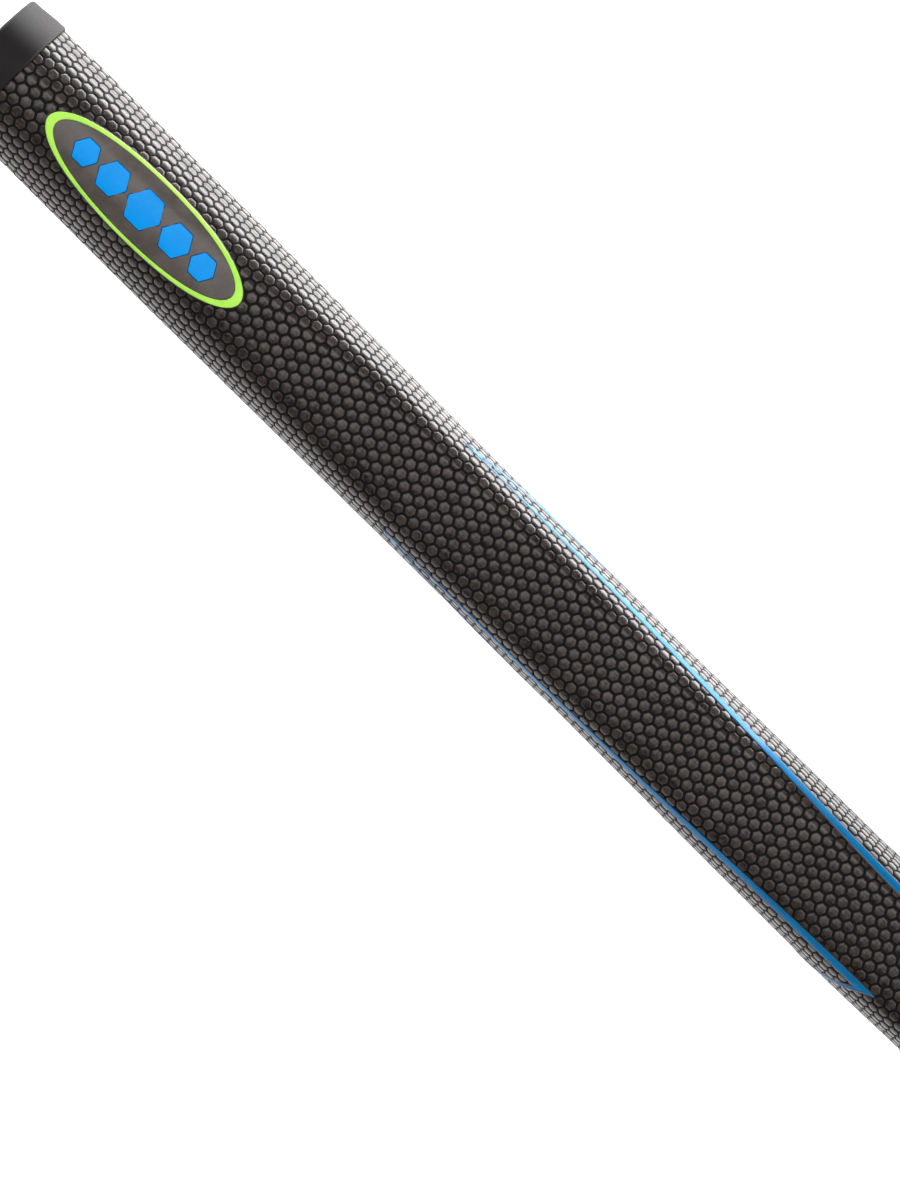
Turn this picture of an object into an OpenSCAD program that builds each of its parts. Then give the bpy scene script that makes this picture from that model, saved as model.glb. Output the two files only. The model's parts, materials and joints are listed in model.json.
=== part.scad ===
// Wrapped putter grip of the pistol kind, lying on its back with its flat front up.
// The origin is the centre of the bore's mouth. +X runs out of the mouth, towards the club head,
// so the body lies at negative X, and +Z is the way that the flat front faces.
// Lengthwise places are distances from the butt end, and s stands for one of them.

/* [Body] */
// Length from the butt end to the mouth
grip_l = 279.4; // [240:0.1:330]
// Mean width at the widest line, seen from the front
grip_w = 27.7; // [25:0.05:32]
// Swell of the half width above and below its mean
waist = 0.2; // [0:0.05:0.6]
// Place of the widest section under the upper hand
waist_s = 55; // [40:1:80]
// Distance from one widest section to the next
waist_pitch = 185; // [150:1:220]
// Height of the flat front above the bore axis
front_h = 11.8; // [11:0.1:14]
// Depth of the back below the bore axis, at the mouth
back_h = 12; // [11.4:0.1:14]
// Extra depth of the pistol bulge
bulge_h = 6.4; // [0:0.1:9]
// Place of the deepest section of the bulge
bulge_s = 26; // [15:1:40]
// Distance over which the bulge fades
bulge_reach = 42; // [30:1:60]
// How much each side draws in at the mouth
mouth_taper = 0.5; // [0:0.1:0.8]

/* [Section] */
// How far the widest line lies below the bore axis
wide_drop = 4.1; // [0:0.1:6]
// Flatness of the front at the butt, where it is crowned
square_butt = 2.5; // [2.2:0.1:4]
// Flatness of the front down the grip
square_low = 5.9; // [3:0.1:7]
// Fullness of the side walls, where 1 is straight and 2 is round
side_power = 1.35; // [1.2:0.05:2]
// Roundness of the back, where 2 is an ellipse
square_back = 2.2; // [2:0.1:3]

/* [Layers] */
// Thickness of the polyurethane skin
skin_t = 1; // [0.6:0.1:1.4]
// Thickness of the felt behind the skin
felt_t = 0.78; // [0.5:0.02:1]
// Thickness of the skin's pared edge, which tucks under the end lips
pared_t = 0.4; // [0.3:0.05:0.5]
// Width of the sealed seam along the back
seam_w = 1.2; // [0.8:0.1:2]

/* [Bore] */
// Diameter of the bore for the shaft
bore_d = 14.73; // [13:0.01:15.5]
// Diameter of the vent in the end cap
vent_d = 3; // [2:0.1:4]

/* [End cap] */
// Length of the cap along the side of the grip
cap_l = 9; // [8:0.1:12]
// Thickness of the cap's floor
cap_floor = 5; // [3:0.1:5.5]
// How far the cap's lip stands proud of the skin
cap_lip = 0.46; // [0.2:0.02:0.6]

/* [Mouth ring] */
// Length of the mouth ring along the side of the grip
ring_l = 7; // [6:0.1:10]
// Thickness of the ring's floor, around the bore
ring_floor = 4; // [3:0.1:4.5]
// How far the ring's lip stands proud of the skin
ring_lip = 0.35; // [0.1:0.05:0.5]

/* [Badge] */
// Place of the badge's centre
badge_s = 46.1; // [44:0.1:60]
// Length of the badge
badge_l = 53.4; // [40:0.1:60]
// Width of the badge, measured round the crowned front
badge_w = 15.3; // [12:0.1:17]
// Width of the badge's outline at its ends
outline_end = 1.9; // [0.8:0.1:2.6]
// Width of the badge's outline at its sides
outline_side = 0.7; // [0.5:0.05:1.4]
// Number of marks in the badge
mark_count = 5; // [3:2:7]
// Width of the middle mark across its flats
mark_w = 7.4; // [5:0.1:8]
// Share of that width that each mark loses, further out
mark_step = 0.15; // [0:0.01:0.2]
// Gap between marks
mark_gap = 0.9; // [0.5:0.1:2]

/* [Accent lines] */
// Place where each accent leaf starts, on the side wall
leaf_start = 124; // [100:1:135]
// Place of the leaf's tip, on the front
leaf_tip = 260.6; // [230:0.1:262]
// Way round from the centre line to the tip
leaf_tip_w = 9.2; // [8:0.1:11]
// How much further round the leaf starts
leaf_swing = 5.3; // [3:0.1:7]
// Length over which the front line swings that far
leaf_swing_l = 125; // [100:1:140]
// Greatest span of the leaf, over both of its lines
leaf_w = 19; // [10:0.5:20]
// Length over which the leaf opens behind its tip
leaf_open = 10.9; // [8:0.1:20]
// Width of the front line
line_w = 1.75; // [1:0.05:2.2]
// Width of the leaf's lines where they start
line_thin_w = 0.4; // [0.3:0.05:1]
// Width of the rear line
line_rear_w = 1.5; // [0.5:0.05:1.8]

/* [Hidden] */
$fn = 64;
around = 48;              // sides of every section
stations = 24;            // sections between the two lips
front_steps = 20;         // steps of the half section's front, side wall and back
side_steps = 16;
back_steps = 24;
fit = 0.02;               // gap between one bonded layer and the next
seat = 0.05;              // gap at the ends of a layer
film = 0.12;              // height of the printed lines and the badge over the skin
lip_clear = 0.1;          // gap between a lip and the pared edge under it
tuck = 2;                 // length of the skin's pared edge
edge_r = 0.9;             // rounding of the outer edge of the cap and of the ring
felt_in = skin_t + fit;   // depths below the surface
felt_out = felt_in + felt_t;
core_in = felt_out + fit;
pared_in = skin_t - pared_t;
lip_in = pared_in - lip_clear;
wrap_end = grip_l - ring_l;

// The body's surface. Half of each section is a front curve down to the widest line, which lies
// below the bore axis, and then a rounder back curve. y and z are measured from the bore axis.

function smooth(t) = let(c = min(1, max(0, t))) c * c * (3 - 2 * c);
function draw_in(s) = mouth_taper * smooth((s - grip_l + 30) / 30);
function half_w(s) = grip_w / 2 + waist * cos(360 * (s - waist_s) / waist_pitch) - draw_in(s);
function back(s) = back_h + bulge_h * exp(-pow((s - bulge_s) / bulge_reach, 2)) - draw_in(s);
function flatness(s) = square_butt + (square_low - square_butt) * smooth((s - 45) / 85);

wide_z = -wide_drop;
rise = front_h + wide_drop;
function front_z(s, y) = wide_z + rise * pow(max(0, 1 - pow(y / half_w(s), flatness(s))), 1 / side_power);
function front_y(s, z) = half_w(s) * pow(max(0, 1 - pow((z - wide_z) / rise, side_power)), 1 / flatness(s));
function half_line(s) = let(w = half_w(s), y0 = 0.8 * w, z0 = front_z(s, y0), k = 2 / square_back) concat(
    [for (i = [0:front_steps]) let(y = y0 * i / front_steps) [y, front_z(s, y)]],
    [for (i = [1:side_steps]) let(z = z0 + (wide_z - z0) * i / side_steps) [front_y(s, z), z]],
    [for (i = [1:back_steps]) let(a = 90 * i / back_steps)
        [w * pow(max(0, cos(a)), k), wide_z - (back(s) - wide_drop) * pow(sin(a), k)]]);

// The way out of the surface at a point of the half section.
function outward(s, y, z) = let(
    w = half_w(s), d = back(s) - wide_drop, q = z < wide_z ? square_back : flatness(s),
    g = [q / w * pow(y / w, q - 1), z < wide_z ? -q / d * pow((wide_z - z) / d, q - 1)
        : side_power / rise * pow((z - wide_z) / rise, side_power - 1)]) g / norm(g);

// The half section as two tables, of [distance round from the front's centre, y] and of [distance, z].
function sums(v, i = 0, t = 0) = i == len(v) ? [t] : concat([t], sums(v, i + 1, t + v[i]));
function measured(s) = let(
    line = half_line(s),
    along = sums([for (i = [1:len(line) - 1]) norm(line[i] - line[i - 1])]))
    [for (c = [0, 1]) [for (i = [0:len(line) - 1]) [along[i], line[i][c]]]];
function girth(tables) = let(t = tables[0]) t[len(t) - 1][0];

// A point of the surface, w round from the front's centre line and off above the surface.
function place(s, tables, w, off) = let(
    y = lookup(abs(w), tables[0]), z = lookup(abs(w), tables[1]), p = [y, z] + off * outward(s, y, z))
    [s - grip_l, (w < 0 ? -1 : 1) * p[0], p[1]];
function wrapped(w, tables) = w > girth(tables) ? w - 2 * girth(tables) : w;
function spot(s, w, off) = let(tables = measured(s)) place(s, tables, wrapped(w, tables), off);

// Triangles of the strip between two rows of n points, where the rows start at p and q.
function strip(p, q, n, closed) = [for (i = [0:(closed ? n - 1 : n - 2)]) let(j = (i + 1) % n)
    each [[p + i, q + i, q + j], [p + i, q + j, p + j]]];

// Faces of a shell whose rings each have n points on the outside and then n on the inside.
function shell_faces(rings, n) = let(last = 2 * n * (rings - 1)) concat(
    [for (k = [0:rings - 2]) let(p = 2 * n * k, q = p + 2 * n) each concat(
        strip(q, p, n, false),
        strip(p + n, q + n, n, false),
        [[p, q + n, p + n], [p, q, q + n]],
        [[p + n - 1, q + 2 * n - 1, q + n - 1], [p + n - 1, p + 2 * n - 1, q + 2 * n - 1]])],
    strip(0, n, n, false), strip(last + n, last, n, false));

// A solid from rings of [place, depth below the surface], closed at its first and last rings.
module closed_by_rings(rings) {
    points = [for (r = rings) let(tables = measured(r[0]))
        each [for (i = [0:around - 1]) place(r[0], tables, girth(tables) * (2 * i / around - 1), -r[1])]];
    last = around * (len(rings) - 1);
    faces = concat(
        [for (k = [0:len(rings) - 2]) each strip(around * (k + 1), around * k, around, true)],
        [for (i = [1:around - 2]) [0, i + 1, i]],
        [for (i = [1:around - 2]) [last, last + i, last + i + 1]]);
    polyhedron(points, faces);
}

// The distances round at which a layer has points, from one edge of the seam's gap to the other.
function layer_stops(tables, gap) = let(g = girth(tables))
    concat([-g + gap / 2], [for (i = [1:around - 1]) g * (2 * i / around - 1)], [g - gap / 2]);

// A layer that goes round the body but for a gap at the back, from rows of
// [place, outer depth, inner depth].
module open_layer(rings, gap) {
    n = around + 1;
    points = [for (r = rings) let(tables = measured(r[0]), stops = layer_stops(tables, gap))
        each concat([for (w = stops) place(r[0], tables, w, -r[1])],
                    [for (w = stops) place(r[0], tables, w, -r[2])])];
    polyhedron(points, shell_faces(len(rings), n));
}

// A band or a plate on the surface, from rows of points: each row is one loop, and the rows run
// outer bottom, outer top, inner top, inner bottom.
module loop_band(loops) {
    n = len(loops[0]);
    points = [for (l = loops) each l];
    polyhedron(points, [for (k = [0:3]) each strip(n * k, n * ((k + 1) % 4), n, true)]);
}

function between_lips(t) = cap_l + seat + t * (wrap_end - cap_l - 2 * seat);
function full_stations() = [for (k = [0:stations]) between_lips(k / stations)];

module along_x(s, d, l) {
    translate([s - grip_l, 0, 0]) rotate([0, 90, 0]) cylinder(d = d, h = l);
}

module core_sleeve() {
    ends = [cap_floor + seat, cap_l - tuck + seat];
    mouth_ends = [wrap_end + tuck - seat, grip_l - ring_floor - seat];
    color("dimgray") difference() {
        closed_by_rings([for (s = concat(ends, full_stations(), mouth_ends)) [s, core_in]]);
        along_x(0, bore_d, grip_l);
    }
}

module felt_backing() {
    color("gainsboro")
        open_layer([for (s = concat([cap_l - tuck + seat], full_stations(), [wrap_end + tuck - seat]))
            [s, felt_in, felt_out]], 0.2);
}

module hex_wrap() {
    color("#57504d") open_layer(concat(
        [[cap_l - tuck + seat, pared_in, skin_t], [cap_l, pared_in, skin_t]],
        [for (s = full_stations()) [s, 0, skin_t]],
        [[wrap_end, pared_in, skin_t], [wrap_end + tuck - seat, pared_in, skin_t]]), seam_w);
}

module seam_strip() {
    steps = 4;
    half = seam_w / 2 - fit;
    function row(s, off) = let(tables = measured(s), g = girth(tables))
        [for (i = [0:steps]) place(s, tables, wrapped(g - half + 2 * half * i / steps, tables), off)];
    points = [for (s = full_stations()) each concat(row(s, 0), row(s, -skin_t))];
    color("#1c1a1a") polyhedron(points, shell_faces(stations + 1, steps + 1));
}

module end_cap() {
    color("#3c3a3a") difference() {
        closed_by_rings([
            [0, edge_r], [edge_r * 0.3, edge_r * 0.3], [edge_r, 0],
            [cap_l - 1, -cap_lip], [cap_l - 0.3, -cap_lip], [cap_l, -cap_lip * 0.6],
            [cap_l, lip_in], [cap_l - tuck, lip_in],
            [cap_l - tuck, felt_out], [cap_floor, felt_out]]);
        along_x(-1, vent_d, cap_floor + 2);
    }
}

module mouth_ring() {
    color("#2c2a2a") difference() {
        closed_by_rings([
            [grip_l - ring_floor, felt_out], [wrap_end + tuck, felt_out],
            [wrap_end + tuck, lip_in], [wrap_end, lip_in],
            [wrap_end, -ring_lip * 0.6], [wrap_end + 0.3, -ring_lip], [wrap_end + 1, -ring_lip],
            [grip_l - edge_r, 0], [grip_l - edge_r * 0.3, edge_r * 0.3], [grip_l, edge_r]]);
        along_x(grip_l - ring_l, bore_d, ring_l + 1);
    }
}

// A thin patch on the front, from loops of [place, distance round] that shrink to a middle point.
module patch(loops, middle, low, high) {
    n = len(loops[0]);
    rows = len(loops);
    top = 2 * rows * n;
    points = concat(
        [for (l = loops, p = l) spot(p[0], p[1], high)],
        [for (l = loops, p = l) spot(p[0], p[1], low)],
        [spot(middle[0], middle[1], high), spot(middle[0], middle[1], low)]);
    polyhedron(points, concat(
        [for (k = [0:rows - 2]) each concat(
            strip(n * k, n * (k + 1), n, true),
            strip(n * (rows + k + 1), n * (rows + k), n, true))],
        strip(n * rows, 0, n, true),
        [for (i = [0:n - 1]) each [[n * (rows - 1) + i, top, n * (rows - 1) + (i + 1) % n],
                                   [n * (2 * rows - 1) + (i + 1) % n, top + 1, n * (2 * rows - 1) + i]]]));
}

function ellipse(l, w) = [for (i = [0:63]) let(a = 360 * i / 64)
    [badge_s + l / 2 * cos(a), w / 2 * sin(a)]];
function badge_loop(l, w, off) = [for (p = ellipse(l, w)) spot(p[0], p[1], off)];

module badge_plate() {
    l = badge_l - 2 * outline_end - 2 * fit;
    w = badge_w - 2 * outline_side - 2 * fit;
    color("#6b6561")
        patch([for (k = [1, 0.8, 0.6, 0.4, 0.2]) ellipse(l * k, w * k)], [badge_s, 0], seat, film);
}

module badge_outline() {
    in_l = badge_l - 2 * outline_end;
    in_w = badge_w - 2 * outline_side;
    color("#a4e455") loop_band([
        badge_loop(badge_l, badge_w, seat), badge_loop(badge_l, badge_w, 2 * film),
        badge_loop(in_l, in_w, 2 * film), badge_loop(in_l, in_w, seat)]);
}

// A mark's width across its flats, and the place of its centre, counted from the middle mark.
function mark_across(k) = mark_w * (1 - mark_step * abs(k));
function mark_long(k) = mark_across(k) / cos(30);
function mark_centre(k) = k == 0 ? 0 : sign(k) * (abs(mark_centre(abs(k) - 1)) + mark_gap
    + (mark_long(k) + mark_long(abs(k) - 1)) / 2);

// A hexagon with a point towards the mouth, with extra points along its sides.
function hexagon(s, long, n) = [for (i = [0:6 * n - 1]) let(
    k = floor(i / n), t = i / n - k, a = long / 2 * [cos(60 * k), sin(60 * k)],
    b = long / 2 * [cos(60 * k + 60), sin(60 * k + 60)]) [s, 0] + a + t * (b - a)];

module badge_marks() {
    side = (mark_count - 1) / 2;
    color("#2496e4") for (k = [-side:side]) let(s = badge_s + mark_centre(k))
        patch([for (t = [1, 0.6, 0.25]) hexagon(s, t * mark_long(k), 4)], [s, 0],
            film + seat, 2 * film + seat);
}

// The accent leaf. It is a slender closed outline that starts on the side wall and ends in a sharp
// tip on the front, with a thick front line and a thin rear line.

function leaf_front(s) = leaf_tip_w + leaf_swing * smooth((leaf_tip - s) / leaf_swing_l);
function leaf_span(s) = let(d = leaf_tip - s, t = d / (leaf_tip - leaf_start))
    leaf_w * (1 - exp(-pow(d / leaf_open, 2))) * (1 - pow(t, 3)) + 0.9 * (1 - exp(-d / 1.5)) * (1 - t);
function front_line_w(s) = line_thin_w + (line_w - line_thin_w) * smooth((s - leaf_start) / 50);
function leaf_run(n) = [for (i = [0:n]) leaf_start + (leaf_tip - leaf_start) * (1 - cos(180 * i / n)) / 2];

// The inner outline keeps to the same run, drawn in from both of the leaf's points.
function inner_run(s) = let(t = (s - leaf_start) / (leaf_tip - leaf_start))
    leaf_start + 5 + t * (leaf_tip - leaf_start - 5 - 3.6);
function outer_loop(n, off) = let(run = leaf_run(n)) concat(
    [for (s = run) spot(s, leaf_front(s), off)],
    [for (i = [n - 1:-1:1]) let(s = run[i]) spot(s, leaf_front(s) + leaf_span(s), off)]);
function inner_loop(n, off) = let(run = leaf_run(n)) concat(
    [for (o = run) let(s = inner_run(o)) spot(s, leaf_front(s) + front_line_w(s), off)],
    [for (i = [n - 1:-1:1]) let(s = inner_run(run[i]), w = front_line_w(s))
        spot(s, leaf_front(s) + max(leaf_span(s) - min(line_rear_w, w), w + 0.02), off)]);

module accent_line() {
    n = 52;
    loop_band([outer_loop(n, seat), outer_loop(n, film), inner_loop(n, film), inner_loop(n, seat)]);
}

module accent_line_left() {
    color("#1579c0") accent_line();
}

module accent_line_right() {
    color("#1579c0") mirror([0, 1, 0]) accent_line();
}

core_sleeve();
felt_backing();
hex_wrap();
seam_strip();
end_cap();
mouth_ring();
badge_plate();
badge_outline();
badge_marks();
accent_line_left();
accent_line_right();
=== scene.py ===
import json
import math

import bmesh
import bpy
import numpy as np
from mathutils import Matrix, Quaternion, Vector


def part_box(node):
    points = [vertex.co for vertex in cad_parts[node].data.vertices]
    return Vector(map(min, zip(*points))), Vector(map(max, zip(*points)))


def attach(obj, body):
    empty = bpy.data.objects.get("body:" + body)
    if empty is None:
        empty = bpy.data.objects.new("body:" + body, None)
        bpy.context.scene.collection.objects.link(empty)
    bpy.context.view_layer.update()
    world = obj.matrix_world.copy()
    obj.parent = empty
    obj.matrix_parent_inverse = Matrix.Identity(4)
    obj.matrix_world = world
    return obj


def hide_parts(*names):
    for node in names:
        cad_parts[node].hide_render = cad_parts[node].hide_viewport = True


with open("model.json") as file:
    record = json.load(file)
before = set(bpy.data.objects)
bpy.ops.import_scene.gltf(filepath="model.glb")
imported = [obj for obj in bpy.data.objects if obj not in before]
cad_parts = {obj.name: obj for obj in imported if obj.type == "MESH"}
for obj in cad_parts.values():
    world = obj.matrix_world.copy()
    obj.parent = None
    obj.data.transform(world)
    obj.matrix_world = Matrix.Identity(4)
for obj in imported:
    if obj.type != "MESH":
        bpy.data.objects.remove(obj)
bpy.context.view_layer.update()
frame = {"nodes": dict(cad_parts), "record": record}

# ---------------------------------------------------------------- sizes, in millimetres
# These repeat the surface of the part's source. The lengths come from the frame's own boxes.

MM = 0.001
L = -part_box("end_cap")[0][0] / MM
CAP_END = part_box("end_cap")[1][0] / MM + L
RING_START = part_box("mouth_ring")[0][0] / MM + L
FRONT_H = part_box("hex_wrap")[1][2] / MM
GRIP_W, WAIST, WAIST_S, WAIST_PITCH = 27.7, 0.2, 55.0, 185.0
BACK_H, BULGE_H, BULGE_S, BULGE_REACH, MOUTH_TAPER = 12.0, 6.4, 26.0, 42.0, 0.5
WIDE_DROP, SQUARE_BUTT, SQUARE_LOW, SIDE_POWER, SQUARE_BACK = 4.1, 2.5, 5.9, 1.35, 2.2
SKIN_T, LAYERS_T, LIP_DEPTH = 1.0, 1.8, 0.5
CAP_FLOOR, CAP_LIP, RING_FLOOR, RING_LIP, TUCK, EDGE_R = 5.0, 0.46, 4.0, 0.35, 2.0, 0.9
BORE_R = frame["record"]["mounts"][0]["dims"]["r_mm"]
VENT_R = 1.5

rng = np.random.default_rng(7)


# ---------------------------------------------------------------- the grip's surface
# s runs from the butt, w runs round from the front's centre line, and off stands out from the skin.

def smooth(t):
    t = np.clip(t, 0, 1)
    return t * t * (3 - 2 * t)


def draw_in(s):
    return MOUTH_TAPER * smooth((s - L + 30) / 30)


def half_w(s):
    return GRIP_W / 2 + WAIST * np.cos(2 * np.pi * (s - WAIST_S) / WAIST_PITCH) - draw_in(s)


def back(s):
    return BACK_H + BULGE_H * np.exp(-((s - BULGE_S) / BULGE_REACH) ** 2) - draw_in(s)


def flatness(s):
    return SQUARE_BUTT + (SQUARE_LOW - SQUARE_BUTT) * smooth((s - 45) / 85)


RISE = FRONT_H + WIDE_DROP


def half_line(s):
    """Points (y, z) of half a section, from the front's centre round to the back's centre."""
    w, q, d = half_w(s), flatness(s), back(s) - WIDE_DROP
    y = np.linspace(0, 0.8 * w, 500)
    z = RISE * (1 - (y / w) ** q) ** (1 / SIDE_POWER)
    side = np.linspace(z[-1], 0, 500)[1:]
    a = np.linspace(0, np.pi / 2, 500)[1:]
    y = np.concatenate([y, w * (1 - (side / RISE) ** SIDE_POWER) ** (1 / q),
                        w * np.maximum(np.cos(a), 0) ** (2 / SQUARE_BACK)])
    return y, np.concatenate([z, side, -d * np.sin(a) ** (2 / SQUARE_BACK)]) - WIDE_DROP


def outward(s, y, z):
    """The way out of the surface, in the plane of the section, for y of 0 or more."""
    w, d, up = half_w(s), back(s) - WIDE_DROP, z + WIDE_DROP
    q = np.where(up < 0, SQUARE_BACK, flatness(s))
    gy = q / w * np.clip(y / w, 0, 1) ** (q - 1)
    gz = np.where(up < 0, -SQUARE_BACK / d * (np.maximum(-up, 0) / d) ** (SQUARE_BACK - 1),
                  SIDE_POWER / RISE * (np.maximum(up, 0) / RISE) ** (SIDE_POWER - 1))
    g = np.hypot(gy, gz)
    return gy / g, gz / g


T_S = np.linspace(0, L, 281)
T_F = np.linspace(0, 1, 901)
G_TABLE, Y_TABLE, Z_TABLE = [], [], []
for station in T_S:
    line = half_line(station)
    arc = np.concatenate([[0], np.cumsum(np.hypot(np.diff(line[0]), np.diff(line[1])))])
    G_TABLE.append(arc[-1])
    Y_TABLE.append(np.interp(T_F * arc[-1], arc, line[0]))
    Z_TABLE.append(np.interp(T_F * arc[-1], arc, line[1]))
G_TABLE, Y_TABLE, Z_TABLE = np.array(G_TABLE), np.array(Y_TABLE), np.array(Z_TABLE)


def girth(s):
    """Half the way round the section at s."""
    return np.interp(s, T_S, G_TABLE)


def place(s, w, off=0.0):
    """Points of the surface, in millimetres."""
    s, w, off = np.broadcast_arrays(*(np.asarray(v, float) for v in (s, w, off)))
    g = girth(s)
    w = np.where(w > g, w - 2 * g, w)
    fs = np.clip(s / L * (len(T_S) - 1), 0, len(T_S) - 1.000001)
    ft = np.clip(np.abs(w) / g * (len(T_F) - 1), 0, len(T_F) - 1.000001)
    i, j = fs.astype(int), ft.astype(int)
    u, v = fs - i, ft - j
    y, z = (((table[i, j] * (1 - v) + table[i, j + 1] * v) * (1 - u)
             + (table[i + 1, j] * (1 - v) + table[i + 1, j + 1] * v) * u) for table in (Y_TABLE, Z_TABLE))
    oy, oz = outward(s, y, z)
    return np.stack([s - L, np.where(w < 0, -1, 1) * (y + off * oy), z + off * oz], -1)


# ---------------------------------------------------------------- helpers

def stand_in(mesh, node):
    """A smooth object of this mesh that rides the grip in place of a node, its normals made consistent."""
    mesh.polygons.foreach_set("use_smooth", [True] * len(mesh.polygons))
    mesh.update()
    obj = bpy.data.objects.new(mesh.name, mesh)
    bpy.context.scene.collection.objects.link(obj)
    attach(obj, "root")
    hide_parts(node)
    bm = bmesh.new()
    bm.from_mesh(mesh)
    bmesh.ops.recalc_face_normals(bm, faces=bm.faces)
    bm.to_mesh(mesh)
    bm.free()
    return obj


def make(name, points, faces, node, index=None):
    """A stand-in from points in millimetres, where index gives each face its material."""
    mesh = bpy.data.meshes.new(name)
    mesh.from_pydata((np.asarray(points) * MM).tolist(), [], faces)
    if index is not None:
        mesh.polygons.foreach_set("material_index", np.asarray(index, np.int32))
    return stand_in(mesh, node)


def cover(obj, *materials):
    for material in materials:
        obj.data.materials.append(material)


def sharp(obj, degrees):
    """Edges that bend more than this stay crisp."""
    bm = bmesh.new()
    bm.from_mesh(obj.data)
    for e in bm.edges:
        if len(e.link_faces) == 2 and e.calc_face_angle(0) > math.radians(degrees):
            e.smooth = False
    bm.to_mesh(obj.data)
    bm.free()
    return obj


def ring_quads(rings, n, start=0, closed=False):
    """Quads between rings of n points. Closed joins the last ring to the first."""
    return [(start + n * k + i, start + n * k + (i + 1) % n,
             start + n * ((k + 1) % rings) + (i + 1) % n, start + n * ((k + 1) % rings) + i)
            for k in range(rings if closed else rings - 1) for i in range(n)]


def border_index(rings, n, border):
    """Material numbers for open ring_quads: 1 on the bands named in border, 0 on the rest."""
    return [int(k in border) for k in range(rings - 1) for _ in range(n)]


class Nodes:
    """Short names for building a material's node tree."""

    def __init__(self, name):
        self.material = bpy.data.materials.new(name)
        self.material.use_nodes = True
        self.tree = self.material.node_tree
        self.shader = self.tree.nodes["Principled BSDF"]

    def add(self, kind, **values):
        node = self.tree.nodes.new("ShaderNode" + kind)
        for key, value in values.items():
            if hasattr(node, key) and key not in node.inputs:
                setattr(node, key, value)
            else:
                node.inputs[key].default_value = value
        return node

    def link(self, a, b):
        self.tree.links.new(a, b)

    def coords(self):
        return self.add("TexCoord").outputs["Object"]

    def noise(self, scale, detail=3.0, roughness=0.5, stretch=None):
        node = self.add("TexNoise", Scale=scale, Detail=detail, Roughness=roughness)
        where = self.coords()
        if stretch:
            m = self.add("Mapping", Scale=stretch)
            self.link(where, m.inputs["Vector"])
            where = m.outputs["Vector"]
        self.link(where, node.inputs["Vector"])
        return node.outputs["Fac"]

    def attribute(self, name):
        return self.add("Attribute", attribute_name=name).outputs["Fac"]

    def remap(self, value, low, high, to_low=0.0, to_high=1.0):
        node = self.add("MapRange")
        for key, v in (("From Min", low), ("From Max", high), ("To Min", to_low), ("To Max", to_high)):
            node.inputs[key].default_value = v
        self.link(value, node.inputs["Value"])
        return node.outputs["Result"]

    def math(self, operation, a, b):
        node = self.add("Math", operation=operation)
        for socket, v in zip(node.inputs, (a, b)):
            if isinstance(v, (int, float)):
                socket.default_value = v
            else:
                self.link(v, socket)
        return node.outputs["Value"]

    def mix(self, factor, a, b):
        node = self.add("Mix", data_type="RGBA")
        if isinstance(factor, (int, float)):
            node.inputs[0].default_value = factor
        else:
            self.link(factor, node.inputs[0])
        for socket, v in ((node.inputs[6], a), (node.inputs[7], b)):
            if isinstance(v, tuple):
                socket.default_value = (*v, 1.0)
            else:
                self.link(v, socket)
        return node.outputs[2]

    def bump(self, height, strength, distance):
        node = self.add("Bump", Strength=strength, Distance=distance)
        self.link(height, node.inputs["Height"])
        self.link(node.outputs["Normal"], self.shader.inputs["Normal"])

    def set(self, **values):
        for key, v in values.items():
            socket = self.shader.inputs[key.replace("_", " ")]
            if hasattr(v, "is_linked"):
                self.link(v, socket)
            else:
                socket.default_value = (*v, 1.0) if isinstance(v, tuple) and len(v) == 3 else v
        return self.material


def linear(r, g, b):
    """A colour given in 0 to 255 display values."""
    return tuple((c / 255 / 12.92) if c / 255 <= 0.04045 else ((c / 255 + 0.055) / 1.055) ** 2.4
                 for c in (r, g, b))


# ---------------------------------------------------------------- the pressed skin

# Columns run round the grip, and rows run along it from the front's centre line to the seam.
COLUMN_S, COLUMN_GAP, COLUMN_EASE, FIRST_COLUMN = 9.68, 2.222, 0.0004, -1
PITCH, ROWS, FRONT_ROWS = 2.67, 16, 9.5
BUTT_SWELL = 0.02
GROOVE = 0.3
# A pad's outline and its inner ring, as shares of the way from the cell's middle to its corners.
PAD, PAD_CUT, PAD_INNER = 0.72, 0.18, 0.61
PAD_ROUND, PAD_UNEVEN = 0.03, 0.008
SEAM_W, SKIN_GAP, FLAT_TOL = 1.2, 0.05, 1e-4


def column(k):
    return COLUMN_S + COLUMN_GAP * k - COLUMN_EASE * k * np.abs(k)


def flat_to_skin(q, s):
    """Rows keep their pitch over the front and the sides, and share out the back up to the seam."""
    swell = 1 + BUTT_SWELL * (1 - smooth((s - 30) / 60))
    edge = FRONT_ROWS * PITCH
    rate = (girth(s) - SEAM_W / 2 - edge * swell) / (ROWS * PITCH - edge)
    a = np.abs(q)
    return np.sign(q) * np.where(a > edge, edge * swell + (a - edge) * rate, a * swell)


def hex_cells():
    """The cells' corner points, the six corners of each cell and the cells' middles, on the flat sheet."""
    last = 0
    while column(last) < RING_START + 2:
        last += 1
    cells = [(k, j) for k in range(FIRST_COLUMN, last + 1)
             for j in range(-2 * ROWS, 2 * ROWS + 1) if (j + k + 1) % 2 == 0]
    corners = {}

    def corner(third, half_row):
        return corners.setdefault((third, half_row), len(corners))

    outer = np.array([[corner(2 * k + 1, j), corner(2 * k, j + 1), corner(2 * k - 1, j + 1),
                       corner(2 * k - 2, j), corner(2 * k - 1, j - 1), corner(2 * k, j - 1)] for k, j in cells])
    keys, cells = np.array(list(corners)), np.array(cells)
    k, part = np.floor_divide(keys[:, 0], 2), keys[:, 0] % 2
    spot_s = column(k) + (column(k + 1) - column(k)) * (part + 1) / 3
    spots = np.stack([spot_s, keys[:, 1] * PITCH / 2], -1)
    middle = np.stack([column(cells[:, 0]), cells[:, 1] * PITCH / 2], -1)
    return spots, outer, middle


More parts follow.
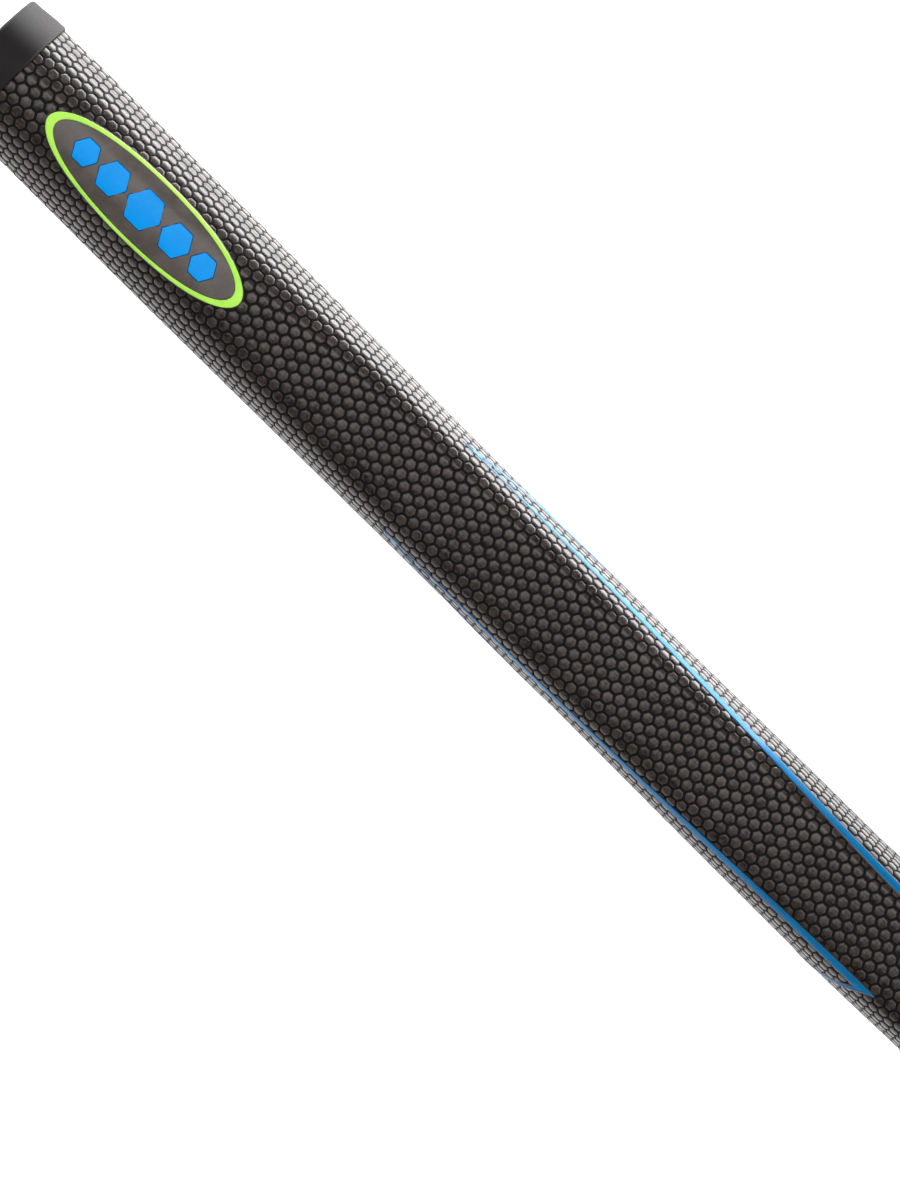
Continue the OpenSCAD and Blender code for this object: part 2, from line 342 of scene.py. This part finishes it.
def hex_sheet():
    """The pads and grooves as a flat mesh (s, w, height), with each pad's tone."""
    spots, outer, middle = hex_cells()
    n = len(middle)
    arms = spots[outer] - middle[:, None, :]
    nxt, prv = np.roll(arms, -1, 1), np.roll(arms, 1, 1)
    before = middle[:, None] + PAD * (arms + PAD_CUT * (prv - arms))
    after = middle[:, None] + PAD * (arms + PAD_CUT * (nxt - arms))
    inner = middle[:, None] + PAD_INNER * arms
    tone = rng.random(n)
    lift = rng.normal(0, PAD_UNEVEN, n)
    low = lift - PAD_ROUND
    # each block's points, heights, and its values of pad, rim and tone
    # The rim value is 1 at a pad's outline and 0 at its middle; the material uses it to paint shade into each
    # pad's middle.
    blocks = [
        (spots, np.full(len(spots), -GROOVE), 0.0, 0.0, np.full(len(spots), 0.5)),
        (before.reshape(-1, 2), np.repeat(low, 6), 1.0, 1.0, np.repeat(tone, 6)),
        (after.reshape(-1, 2), np.repeat(low, 6), 1.0, 1.0, np.repeat(tone, 6)),
        (inner.reshape(-1, 2), np.repeat(lift, 6), 1.0, 0.45, np.repeat(tone, 6)),
        (middle, low, 1.0, 0.0, tone),
    ]
    flat = np.concatenate([block[0] for block in blocks])
    height = np.concatenate([block[1] for block in blocks])
    padness, rim = (np.concatenate([np.full(len(block[0]), block[i]) for block in blocks]) for i in (2, 3))
    tones = np.concatenate([block[4] for block in blocks])

    # o, a, b, c and m number the points of the groove, before, after, inner and middle blocks
    six = np.arange(6)
    turn = np.roll(six, -1)
    o = outer
    a = len(spots) + np.arange(n)[:, None] * 6 + six
    b = a + 6 * n
    c = b + 6 * n
    m = len(spots) + 18 * n + np.arange(n)
    tri = np.concatenate([
        np.stack([o, b, a], -1).reshape(-1, 3),
        np.stack([a, b, c], -1).reshape(-1, 3),
        np.stack([c, c[:, turn], np.repeat(m[:, None], 6, 1)], -1).reshape(-1, 3)])
    quad = np.concatenate([
        np.stack([o, o[:, turn], a[:, turn], b], -1).reshape(-1, 4),
        np.stack([b, a[:, turn], c[:, turn], c], -1).reshape(-1, 4)])
    mesh = bpy.data.meshes.new("hex_wrap_skin")
    mesh.from_pydata(np.column_stack([flat, height]).tolist(), [], tri.tolist() + quad.tolist())
    for key, values in (("pad", padness), ("rim", rim), ("tone", tones)):
        mesh.attributes.new(key, "FLOAT", "POINT").data.foreach_set("value", values.astype(np.float32))
    return mesh


def wrap_piece():
    """The flat sheet, trimmed, given an edge as deep as the skin, and laid on the grip."""
    mesh = hex_sheet()
    bm = bmesh.new()
    bm.from_mesh(mesh)
    for at, out in (((CAP_END + SKIN_GAP, 0), (-1, 0)), ((RING_START - SKIN_GAP, 0), (1, 0)),
                    ((0, ROWS * PITCH), (0, 1)), ((0, -ROWS * PITCH), (0, -1))):
        bmesh.ops.bisect_plane(bm, geom=bm.verts[:] + bm.edges[:] + bm.faces[:], dist=FLAT_TOL,
                               plane_co=(*at, 0), plane_no=(*out, 0), clear_outer=True)
    rim_edges = [e for e in bm.edges if e.is_boundary]
    grown = bmesh.ops.extrude_edge_only(bm, edges=rim_edges)["geom"]
    layer = bm.verts.layers.float["pad"]
    for v in grown:
        if isinstance(v, bmesh.types.BMVert):
            v.co.z = -SKIN_T
            v[layer] = 0.0
    bmesh.ops.dissolve_degenerate(bm, dist=FLAT_TOL, edges=bm.edges)
    loose = [v for v in bm.verts if not v.link_faces]
    bmesh.ops.delete(bm, geom=loose, context="VERTS")
    bm.to_mesh(mesh)
    bm.free()

    co = np.empty(len(mesh.vertices) * 3)
    mesh.vertices.foreach_get("co", co)
    co = co.reshape(-1, 3)
    solid = place(co[:, 0], flat_to_skin(co[:, 1], co[:, 0]), co[:, 2]) * MM
    mesh.vertices.foreach_set("co", solid.ravel())
    return stand_in(mesh, "hex_wrap")


def wrap_material():
    n = Nodes("pressed_polyurethane")
    padness, rim, tone = n.attribute("pad"), n.attribute("rim"), n.attribute("tone")
    cloud = n.remap(n.noise(38, 3, 0.55), 0.36, 0.66)
    fine = n.noise(900, 3, 0.6)
    top = n.mix(n.remap(tone, 0, 1), linear(28, 24, 23), linear(62, 55, 52))
    top = n.mix(n.remap(cloud, 0, 1, 0.65, 0.0), top, linear(20, 15, 14))
    # Each pad's middle is drawn towards a dark brown, fading out towards its rim: painted shade in the pad's
    # dish.
    top = n.mix(n.remap(rim, 0.1, 1.0, 0.12, 0.0), top, linear(32, 28, 26))
    top = n.mix(n.remap(fine, 0.35, 0.7, 0.0, 0.5), top, linear(82, 73, 69))
    edge = n.remap(padness, 0.66, 0.9)
    colour = n.mix(edge, linear(3, 1, 1), top)
    rough = n.math("ADD", n.remap(fine, 0.3, 0.7, 0.16, 0.28), n.remap(edge, 0, 1, 0.6, 0.0))
    n.bump(fine, 0.3, 0.00005)
    return n.set(Base_Color=colour, Roughness=rough, Specular_IOR_Level=0.22, IOR=1.5)


# ---------------------------------------------------------------- the sealed seam

SEAM_STEP, CRIMP_PITCH, CRIMP_DEPTH, BEAD_H = 0.4, 2.4, 0.07, 0.10


def seam_piece():
    across = np.linspace(-1, 1, 9)
    half = SEAM_W / 2 - 0.02
    stations = np.arange(CAP_END + SKIN_GAP, RING_START - 0.04, SEAM_STEP)
    crimp = 0.5 + 0.5 * np.cos(stations * 2 * np.pi / CRIMP_PITCH)
    top, low = [], []
    for s, c in zip(stations, crimp):
        off = BEAD_H * (1 - across ** 2) - CRIMP_DEPTH * c * (1 - across ** 4) - 0.04
        top.append(place(s, girth(s) + half * across, off))
        low.append(place(s, girth(s) + half * across, -SKIN_T))
    rings = np.concatenate([np.array(top), np.array(low)[:, ::-1]], 1)
    count, n = rings.shape[:2]
    faces = ring_quads(count, n)
    faces.append(tuple(range(n)))
    faces.append(tuple(n * (count - 1) + j for j in reversed(range(n))))
    return make("seam_bead", rings.reshape(-1, 3), faces, node="seam_strip")


def rubber(name, dark, light, grain, rough=(0.6, 0.75), bump=0.25, specular=0.15):
    n = Nodes(name)
    fine, broad = n.noise(grain, 4, 0.6), n.noise(60, 3, 0.5)
    colour = n.mix(n.remap(broad, 0.35, 0.68), dark, light)
    colour = n.mix(n.remap(fine, 0.55, 0.75, 0, 0.35), colour, tuple(1.6 * c for c in light))
    n.bump(fine, bump, 0.00006)
    return n.set(Base_Color=colour, Roughness=n.remap(fine, 0.3, 0.7, *rough), Specular_IOR_Level=specular)


# ---------------------------------------------------------------- the moulded ends

AROUND = 192
CREASE = 50
CAP_ROUND, RING_ROUND = 0.45, 0.4
# The cap's round dish about the vent: the share of the way out to the rim, and how deep it is there.
DISH = ((0.18, 0.0), (0.26, 0.0), (0.28, 0.05), (0.31, 0.32), (0.33, 0.36), (0.5, 0.36), (0.66, 0.34),
        (0.68, 0.3), (0.71, 0.05), (0.73, 0.0), (0.85, 0.0), (0.97, 0.0))
# Two shallow grooves round the mouth ring, by their distance from the mouth.
RING_GROOVES, RING_GROOVE_DEPTH, RING_GROOVE_W = (2.6, 4.1), 0.28, 0.22


def section(s, depth):
    return place(s, girth(s) * np.linspace(-1, 1, AROUND, endpoint=False), -depth)


BEARINGS = np.arctan2(*section(L, 0.0)[:, [2, 1]].T)


def circle(s, r):
    """A round ring whose points face those of a section."""
    return np.stack([np.full(AROUND, s - L), r * np.cos(BEARINGS), r * np.sin(BEARINGS)], -1)


def between(a, b, t):
    return a * (1 - t) + b * t


def end_cap_piece():
    face = section(0, EDGE_R)
    rings = [circle(0.5, VENT_R), circle(0.12, VENT_R), circle(0.0, VENT_R + 0.15)]
    for t, dip in DISH:
        ring = between(circle(0, VENT_R), face, t)
        ring[:, 0] += dip
        rings.append(ring)
    for a in np.radians(np.linspace(0, 90, 7)):
        rings.append(section(EDGE_R * (1 - math.cos(a)), EDGE_R * (1 - math.sin(a))))
    for s in np.linspace(EDGE_R + 0.5, CAP_END - 0.9, 8):
        rings.append(section(s, -CAP_LIP * smooth((s - EDGE_R) / (CAP_END - 1.2 - EDGE_R))))
    for a in np.radians(np.linspace(0, 90, 6)):
        rings.append(section(CAP_END - CAP_ROUND + CAP_ROUND * math.sin(a),
                             -CAP_LIP + CAP_ROUND * (1 - math.cos(a))))
    rings += [section(CAP_END, LIP_DEPTH - 0.05), section(CAP_END - 0.05, LIP_DEPTH),
              section(CAP_END - TUCK, LIP_DEPTH), section(CAP_END - TUCK, LAYERS_T),
              section(CAP_FLOOR, LAYERS_T), circle(CAP_FLOOR, VENT_R + 0.1), circle(CAP_FLOOR - 0.1, VENT_R)]
    faces = ring_quads(len(rings), AROUND, closed=True)
    return sharp(make("end_cap_shell", np.concatenate(rings), faces, node="end_cap"), CREASE)


def mouth_ring_piece():
    face = section(L, EDGE_R)
    rings = [circle(L - RING_FLOOR, BORE_R), circle(L - 1.2, BORE_R), circle(L - 0.5, BORE_R),
             circle(L - 0.25, BORE_R + 0.07), circle(L - 0.07, BORE_R + 0.25), circle(L, BORE_R + 0.5)]
    for t in (0.3, 0.55, 0.8, 0.96):
        rings.append(between(circle(L, BORE_R + 0.5), face, t))
    for a in np.radians(np.linspace(0, 90, 7)):
        rings.append(section(L - EDGE_R * (1 - math.cos(a)), EDGE_R * (1 - math.sin(a))))
    for s in np.linspace(L - EDGE_R - 0.2, RING_START + 0.75, 40):
        groove = sum(RING_GROOVE_DEPTH * math.exp(-((s - (L - c)) / RING_GROOVE_W) ** 2) for c in RING_GROOVES)
        lip = RING_LIP * smooth((L - EDGE_R - s) / (L - EDGE_R - RING_START - 1))
        rings.append(section(s, groove - lip))
    for a in np.radians(np.linspace(0, 90, 6)):
        rings.append(section(RING_START + RING_ROUND - RING_ROUND * math.sin(a),
                             -RING_LIP + RING_ROUND * (1 - math.cos(a))))
    rings += [section(RING_START, LIP_DEPTH - 0.05), section(RING_START + 0.05, LIP_DEPTH),
              section(RING_START + TUCK, LIP_DEPTH), section(RING_START + TUCK, LAYERS_T),
              section(L - RING_FLOOR, LAYERS_T), circle(L - RING_FLOOR, BORE_R + 0.02)]
    faces = ring_quads(len(rings), AROUND, closed=True)
    return sharp(make("mouth_ring_shell", np.concatenate(rings), faces, node="mouth_ring"), CREASE)


# ---------------------------------------------------------------- the badge

BADGE_FROM, BADGE_TO = (end[0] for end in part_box("badge_outline"))
BADGE_S = (BADGE_FROM + BADGE_TO) / 2 / MM + L
BADGE_L = (BADGE_TO - BADGE_FROM) / MM
BADGE_W = 15.3
OUTLINE_END, OUTLINE_SIDE = 1.9, 0.7
BADGE_POINTS = 240


def ellipse(l, w):
    a = np.linspace(0, 2 * np.pi, BADGE_POINTS, endpoint=False)
    return np.stack([BADGE_S + l / 2 * np.cos(a), w / 2 * np.sin(a)], -1)


def on_front(loop, off):
    return place(loop[:, 0], loop[:, 1], off)


def badge_plate_piece():
    l, w = BADGE_L - 2 * OUTLINE_END + 0.1, BADGE_W - 2 * OUTLINE_SIDE + 0.1
    n = BADGE_POINTS
    shares = np.sqrt(np.linspace(1, 0.0004, 22))
    rings = [on_front(ellipse(l, w), 0.02)]
    rings += [on_front(ellipse(l * t, w * t), 0.09 + 0.03 * (1 - t)) for t in shares]
    points = np.concatenate(rings + [place([BADGE_S], [0.0], 0.12)])
    last = n * (len(rings) - 1)
    faces = ring_quads(len(rings), n) + [(last + i, last + (i + 1) % n, len(points) - 1) for i in range(n)]
    return make("badge_plate_face", points, faces, node="badge_plate")


def badge_outline_piece():
    inner_l, inner_w = BADGE_L - 2 * OUTLINE_END, BADGE_W - 2 * OUTLINE_SIDE
    rims = [(0.4, -0.05), (0.06, 0.09), (0.0, 0.14), (-0.07, 0.19), (-0.15, 0.21)]
    loops = [on_front(ellipse(BADGE_L + 2 * d, BADGE_W + 2 * d), off) for d, off in rims]
    loops += [on_front(ellipse(inner_l - 2 * d, inner_w - 2 * d), off) for d, off in reversed(rims)]
    n = BADGE_POINTS
    # The outer and inner bevels take the second material, black: painted shade along the ring's edges.
    return make("badge_outline_band", np.concatenate(loops), ring_quads(len(loops), n), node="badge_outline",
                index=border_index(len(loops), n, (0, len(loops) - 2)))


# A row of plain hexagons, MARK_SIDE of them on each side of the middle one.
MARK_W, MARK_STEP, MARK_GAP, MARK_SIDE = 7.4, 0.15, 0.9, 2


def mark_long(k):
    return MARK_W * (1 - MARK_STEP * abs(k)) / math.cos(math.radians(30))


def mark_centre(k):
    if k == 0:
        return 0.0
    nearer = abs(k) - 1
    half_steps = (mark_long(k) + mark_long(nearer)) / 2
    return math.copysign(abs(mark_centre(nearer)) + MARK_GAP + half_steps, k)


def rounded_hexagon(r, corner, steps=6):
    """A hexagon of circumradius r with round corners, one point of it along +s."""
    out = []
    for i in range(6):
        a = math.radians(60 * i)
        mid = (r - corner / math.cos(math.radians(30)))
        for t in np.linspace(-30, 30, steps):
            b = a + math.radians(t)
            out.append((mid * math.cos(a) + corner * math.cos(b), mid * math.sin(a) + corner * math.sin(b)))
    return np.array(out)


def badge_marks_piece():
    points, faces, index = [], [], []
    levels = [(0.2, 0.08), (0.2, 0.15), (0.0, 0.18), (-0.1, 0.21), (-0.2, 0.22)]
    for k in range(-MARK_SIDE, MARK_SIDE + 1):
        r, centre = mark_long(k) / 2, (BADGE_S + mark_centre(k), 0)
        rings = [on_front(rounded_hexagon(r + more, 0.5 + more) + centre, off) for more, off in levels]
        rings += [on_front(rounded_hexagon(r - 0.2, 0.3) * t + centre, 0.222) for t in (0.6, 0.25)]
        n, start = len(rings[0]), len(points)
        points += [p for ring in rings for p in ring]
        faces += ring_quads(len(rings), n, start)
        faces.append(tuple(start + n * (len(rings) - 1) + i for i in range(n)))
        # The outer wall and the bevel of each mark take the second, dark blue material: painted shade round the
        # mark's edge.
        index += border_index(len(rings), n, (0, 1)) + [0]
    return make("badge_marks_row", np.array(points), faces, node="badge_marks", index=index)


def paint(name, colour, deep, rough=(0.3, 0.4), specular=0.5, coat=0.3):
    n = Nodes(name)
    broad, fine = n.noise(220, 3, 0.6), n.noise(1500, 2, 0.5)
    mixed = n.mix(n.remap(broad, 0.3, 0.72), deep, colour)
    mixed = n.mix(n.remap(fine, 0.45, 0.75, 0, 0.12), mixed, tuple(min(1, 1.25 * c + 0.01) for c in colour))
    n.bump(broad, 0.12, 0.00005)
    return n.set(Base_Color=mixed, Roughness=n.remap(broad, 0.3, 0.7, *rough), Specular_IOR_Level=specular,
                 Coat_Weight=coat, Coat_Roughness=0.2)


# ---------------------------------------------------------------- the accent lines

# Each line is a leaf between an outer loop and an inner one, with a front and a rear branch.
LEAF_START, LEAF_TIP = 124.0, 260.6
LEAF_TIP_W, LEAF_SWING, LEAF_SWING_L = 9.2, 5.3, 125
LEAF_W, LEAF_OPEN, LEAF_FADE = 19, 10.9, 3
POINT_W, POINT_L = 0.9, 1.5
INNER_LATE, INNER_EARLY = 5, 3.6
LINE_W, LINE_THIN_W, LINE_REAR_W, LINE_GROWS = 1.75, 0.4, 1.5, 50


def leaf_front(s):
    return LEAF_TIP_W + LEAF_SWING * smooth((LEAF_TIP - s) / LEAF_SWING_L)


def line_w(s):
    return LINE_THIN_W + (LINE_W - LINE_THIN_W) * smooth((s - LEAF_START) / LINE_GROWS)


def leaf_span(s):
    d = LEAF_TIP - s
    t = d / (LEAF_TIP - LEAF_START)
    opened = LEAF_W * (1 - np.exp(-(d / LEAF_OPEN) ** 2)) * (1 - t ** LEAF_FADE)
    return opened + POINT_W * (1 - np.exp(-d / POINT_L)) * (1 - t)


def leaf_run(n):
    t = np.linspace(0, 1, n + 1)
    return LEAF_START + (LEAF_TIP - LEAF_START) * (1 - np.cos(np.pi * t)) / 2


def branches(front_s, front_w, rear_w):
    """A closed loop, out along the front branch and back along the rear one."""
    return np.concatenate([np.stack([front_s, front_w], -1), np.stack([front_s[-2:0:-1], rear_w[-2:0:-1]], -1)])


def leaf_loops(n=260):
    run = leaf_run(n)
    t = (run - LEAF_START) / (LEAF_TIP - LEAF_START)
    inner_run = LEAF_START + INNER_LATE + t * (LEAF_TIP - LEAF_START - INNER_LATE - INNER_EARLY)
    front = leaf_front(inner_run) + line_w(inner_run)
    thick = np.minimum(LINE_REAR_W, line_w(inner_run))
    rear = np.maximum(leaf_front(inner_run) + leaf_span(inner_run) - thick, front + 0.02)
    return branches(run, leaf_front(run), leaf_front(run) + leaf_span(run)), branches(inner_run, front, rear)


def grow(loop, d):
    """The closed loop moved out by d, by less at a sharp point."""
    nxt, prv = np.roll(loop, -1, 0), np.roll(loop, 1, 0)
    t1, t2 = nxt - loop, loop - prv
    t1 /= np.linalg.norm(t1, axis=1)[:, None] + 1e-9
    t2 /= np.linalg.norm(t2, axis=1)[:, None] + 1e-9
    n1, n2 = np.stack([t1[:, 1], -t1[:, 0]], -1), np.stack([t2[:, 1], -t2[:, 0]], -1)
    n = n1 + n2
    n /= np.linalg.norm(n, axis=1)[:, None] + 1e-9
    area = 0.5 * np.sum(loop[:, 0] * nxt[:, 1] - nxt[:, 0] * loop[:, 1])
    return loop + n * d * (1 if area > 0 else -1)


def accent_piece(name, node, side):
    outer, inner = leaf_loops()
    levels = [(grow(outer, 0.32), -0.03), (grow(outer, 0.06), 0.075), (outer, 0.115),
              (grow(outer, -0.12), 0.13), (grow(inner, 0.12), 0.13), (inner, 0.115),
              (grow(inner, -0.06), 0.075), (grow(inner, -0.32), -0.03)]
    loops = [place(loop[:, 0], side * loop[:, 1], off) for loop, off in levels]
    n = len(loops[0])
    return make(name, np.concatenate(loops), ring_quads(len(loops), n), node=node,
                index=border_index(len(loops), n, (0, len(loops) - 2)))


# ---------------------------------------------------------------- build

cover(wrap_piece(), wrap_material())

# Black for the real borders of the accent lines, and painted shade on the lime ring's bevels.
black_border_and_shade = paint("black_border_and_edge_shade", linear(14, 12, 12), linear(9, 8, 8), rough=(0.4, 0.5), coat=0.0)
dark_rubber = rubber("moulded_rubber", linear(25, 23, 23), linear(32, 29, 29), 2600)

cover(seam_piece(), rubber("sealed_seam", linear(24, 21, 20), linear(34, 30, 29), 1400, rough=(0.4, 0.55)))
cover(end_cap_piece(), dark_rubber)
cover(mouth_ring_piece(), rubber("mouth_rubber", linear(38, 35, 34), linear(48, 44, 42), 2600))

cover(badge_plate_piece(), paint("badge_grey", linear(90, 83, 79), linear(72, 66, 62),
                                 rough=(0.34, 0.46), specular=0.3, coat=0.0))
# The lime ring's black bevels are painted shade.
cover(badge_outline_piece(), paint("badge_lime", linear(180, 238, 98), linear(164, 226, 78),
                                   specular=0.1, coat=0.0), black_border_and_shade)
# The marks' dark blue walls and bevels are painted shade.
cover(badge_marks_piece(),
      paint("badge_blue", linear(4, 148, 232), linear(2, 140, 222), specular=0.1, coat=0.0),
      paint("badge_blue_edge_shade", linear(16, 62, 104), linear(12, 50, 88), specular=0.1, coat=0.0))

accent_blue = paint("accent_blue", linear(1, 107, 160), linear(1, 98, 149),
                    rough=(0.26, 0.36), specular=0.1, coat=0.0)
cover(accent_piece("accent_left_film", "accent_line_left", 1), accent_blue, black_border_and_shade)
cover(accent_piece("accent_right_film", "accent_line_right", -1), accent_blue, black_border_and_shade)


def foam_material():
    n = Nodes("foam_rubber")
    cell = n.add("TexVoronoi", Scale=1800.0)
    n.link(n.coords(), cell.inputs["Vector"])
    colour = n.mix(n.remap(cell.outputs["Distance"], 0.1, 0.7), linear(30, 30, 31), linear(62, 62, 64))
    n.bump(cell.outputs["Distance"], 0.4, 0.0001)
    return n.set(Base_Color=colour, Roughness=0.85, Specular_IOR_Level=0.3)


def felt_material():
    n = Nodes("needled_felt")
    fibre = n.noise(500, 5, 0.7, stretch=(0.3, 1.0, 1.0))
    colour = n.mix(n.remap(fibre, 0.3, 0.7), linear(176, 172, 164), linear(220, 216, 208))
    n.bump(fibre, 0.6, 0.0002)
    return n.set(Base_Color=colour, Roughness=0.95, Specular_IOR_Level=0.1)


for node, material in (("core_sleeve", foam_material()), ("felt_backing", felt_material())):
    mesh = frame["nodes"][node].data
    mesh.materials.clear()
    mesh.materials.append(material)


# ---------------------------------------------------------------- floor

def resting_line():
    """The straight line (z at the mouth, slope) under the lowest points of the bulge and the mouth."""
    s = np.linspace(1, L - 1, 400)
    z = -back(s)
    z[s < CAP_END] -= CAP_LIP * smooth(s[s < CAP_END] / CAP_END)
    z[s > RING_START] -= RING_LIP * smooth((L - s[s > RING_START]) / (L - RING_START))
    best = None
    for i in np.where(s < 90)[0]:
        for j in np.where(s > L - 20)[0]:
            slope = (z[j] - z[i]) / (s[j] - s[i])
            if np.all(z - (z[i] + slope * (s - s[i])) > -1e-6):
                best = (z[j] + slope * (L - s[j]), slope)
    return best


FLOOR_Z, FLOOR_SLOPE = resting_line()
FLOOR_TILT = math.atan(FLOOR_SLOPE)
FLOOR_HALF, FLOOR_GAP = 9.0, 0.02

floor_mesh = bpy.data.meshes.new("floor")
floor_mesh.from_pydata([(FLOOR_HALF * x, FLOOR_HALF * y, 0) for x, y in ((-1, -1), (1, -1), (1, 1), (-1, 1))],
                       [], [(0, 1, 2, 3)])
floor = bpy.data.objects.new("floor", floor_mesh)
floor.location = (0, 0, (FLOOR_Z - FLOOR_GAP) * MM)
floor.rotation_euler = (0, -FLOOR_TILT, 0)
bpy.context.scene.collection.objects.link(floor)

pale = Nodes("pale_floor")
pale.set(Base_Color=(0.78, 0.78, 0.78), Roughness=0.8, Specular_IOR_Level=0.1,
         Emission_Color=(1.0, 1.0, 1.0), Emission_Strength=0.85)
floor_mesh.materials.append(pale.material)


# ---------------------------------------------------------------- light

def softbox(name, where, aim, width, height, radiance, colour=(1, 1, 1)):
    """A soft light as bright as this from any side, with its width along the grip or across it."""
    data = bpy.data.lights.new(name, "AREA")
    data.shape = "RECTANGLE"
    data.size, data.size_y = width, height
    data.energy, data.color = radiance * math.pi * width * height, colour
    obj = bpy.data.objects.new(name, data)
    obj.location = where
    obj.rotation_mode = "QUATERNION"
    obj.rotation_quaternion = (Vector(where) - Vector(aim)).to_track_quat("Z", "Y")
    obj.visible_camera = False
    bpy.context.scene.collection.objects.link(obj)
    return obj


def floor_strip(name, y, height, radiance, colour=(1, 1, 1), s=L / 2, length=600.0):
    """A low light beside the grip that lies along the floor."""
    x, z = (s - L) * MM, (FLOOR_Z + FLOOR_SLOPE * (L - s) + 4) * MM
    obj = softbox(name, (x, y, z), (x, 0, z + 0.5 * abs(y)), length * MM, height, radiance, colour)
    obj.rotation_quaternion = Quaternion((0, 1, 0), -FLOOR_TILT) @ obj.rotation_quaternion
    return obj


middle = Vector((-L / 2 * MM, 0, 0))
softbox("top", (middle.x, 0, 1.3), middle, 1.7, 0.3, 1.6)
softbox("top_butt", (middle.x - 0.36, -0.03, 1.28), (middle.x - 0.1, 0, 0), 0.6, 0.5, 2.6)
softbox("top_right", (middle.x, 0.46, 1.25), middle, 1.5, 0.34, 6.0)
softbox("end_butt", (middle.x - 1.1, 0, 0.95), middle, 0.8, 0.8, 3.6)
softbox("end_mouth", (middle.x + 1.1, 0, 0.95), middle, 0.8, 0.8, 2.6)
floor_strip("strip_far", 0.0305, 0.011, 14.0, (0.97, 0.98, 1.0), 65, 290)
floor_strip("strip_near", 0.0195, 0.011, 2.8)
floor_strip("strip_left", -0.03, 0.014, 0.3, (1.0, 0.7, 0.55))

world = bpy.data.worlds.new("studio")
bpy.context.scene.world = world
world.use_nodes = True
tree = world.node_tree
background = tree.nodes["Background"]
sky = tree.nodes.new("ShaderNodeTexCoord")
split = tree.nodes.new("ShaderNodeSeparateXYZ")
ramp = tree.nodes.new("ShaderNodeValToRGB")
tree.links.new(sky.outputs["Generated"], split.inputs[0])
tree.links.new(split.outputs["Z"], ramp.inputs["Fac"])
tree.links.new(ramp.outputs["Color"], background.inputs["Color"])
SKY_STOPS = ((0.0, 1.0), (0.015, 1.0), (0.05, 0.05), (1.0, 0.08))
elements = ramp.color_ramp.elements
for stop, grey in SKY_STOPS[1:-1]:
    elements.new(stop)
for element, (stop, grey) in zip(elements, SKY_STOPS):
    element.position, element.color = stop, (grey, grey, grey, 1)
background.inputs["Strength"].default_value = 1.0

# ---------------------------------------------------------------- camera

# The picture's middle looks at (LOOK_S, LOOK_Y) on the front, with the grip TURN degrees across it. ROLL is how
# far the grip is turned round its length in the photo: the camera stands to that side instead.
LENS, SENSOR = 500.0, 36.0
MM_PER_PIXEL, TALL = 0.2, 1200
LOOK_S, LOOK_Y, TURN, ROLL = 144.5, -12.92, 44.75, 2.0
cam_data = bpy.data.cameras.new("camera")
cam_data.lens = LENS
cam_data.sensor_width = SENSOR
cam = bpy.data.objects.new("camera", cam_data)
bpy.context.scene.collection.objects.link(cam)
distance = TALL * MM_PER_PIXEL / cam_data.sensor_width * LENS * MM
over = Matrix.Translation(((LOOK_S - L) * MM, LOOK_Y * MM, distance + FRONT_H * MM))
turned = over @ Matrix.Rotation(math.radians(TURN), 4, "Z")
widest = Matrix.Translation((0, 0, -WIDE_DROP * MM))
cam.matrix_world = widest @ Matrix.Rotation(math.radians(-ROLL), 4, "X") @ widest.inverted() @ turned
cam_data.clip_start, cam_data.clip_end = 0.01, 30
bpy.context.scene.camera = cam

bpy.context.scene.view_settings.view_transform = "Standard"
